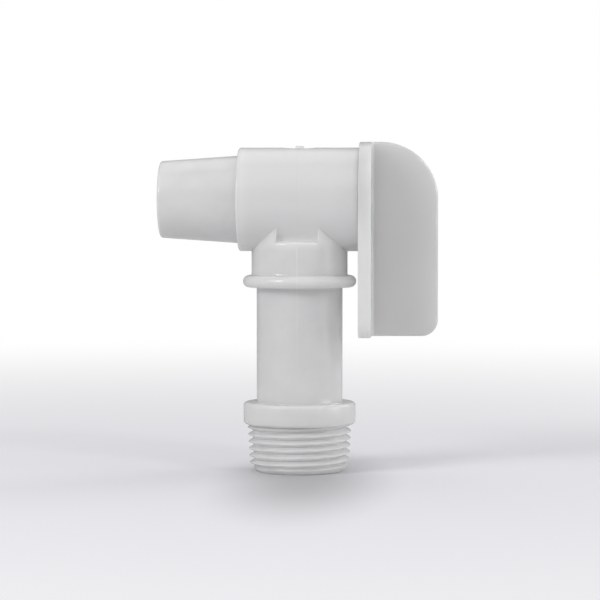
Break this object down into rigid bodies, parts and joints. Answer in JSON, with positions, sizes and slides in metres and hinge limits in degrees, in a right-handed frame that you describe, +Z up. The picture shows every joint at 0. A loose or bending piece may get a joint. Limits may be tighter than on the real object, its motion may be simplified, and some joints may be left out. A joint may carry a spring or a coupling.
{
  "type": "plastic spigot",
  "caption": "Moulded plastic spigot: threaded inlet with collar and bead, cross barrel with tapered spout, and a hollow rotary plug turned by a finned lever handle.",
  "frame": {"origin": "centre of the inlet's open end, on the axis of the threaded inlet", "axes": "+Z up the inlet from the thread to the barrel, +X along the barrel's axis towards the handle, so the spout leaves along -X and the picture looks along +Y. In use the inlet lies level in a container's wall, with the handle on top and the spout down"},
  "size_m": [0.0717, 0.0296, 0.0851],
  "materials": {
    "body_plastic": "natural milky polyethylene, satin moulded surface",
    "plug_plastic": "natural milky polyethylene, smooth where it turns",
    "handle_plastic": "natural milky polyethylene, satin moulded surface",
    "seal_rubber": "pale translucent rubber, matt"
  },
  "bodies": {
    "body": {"valve_body": "body_plastic"},
    "rotor": {"rotary_plug": "plug_plastic", "o_ring_handle_side": "seal_rubber", "o_ring_spout_side": "seal_rubber", "lever_handle": "handle_plastic"}
  },
  "joints": [
    {"name": "handle_turn", "type": "hinge", "parent": "body", "child": "rotor", "pos_m": [0, 0, 0.07025], "axis": [1, 0, 0], "continuous": true}
  ]
}
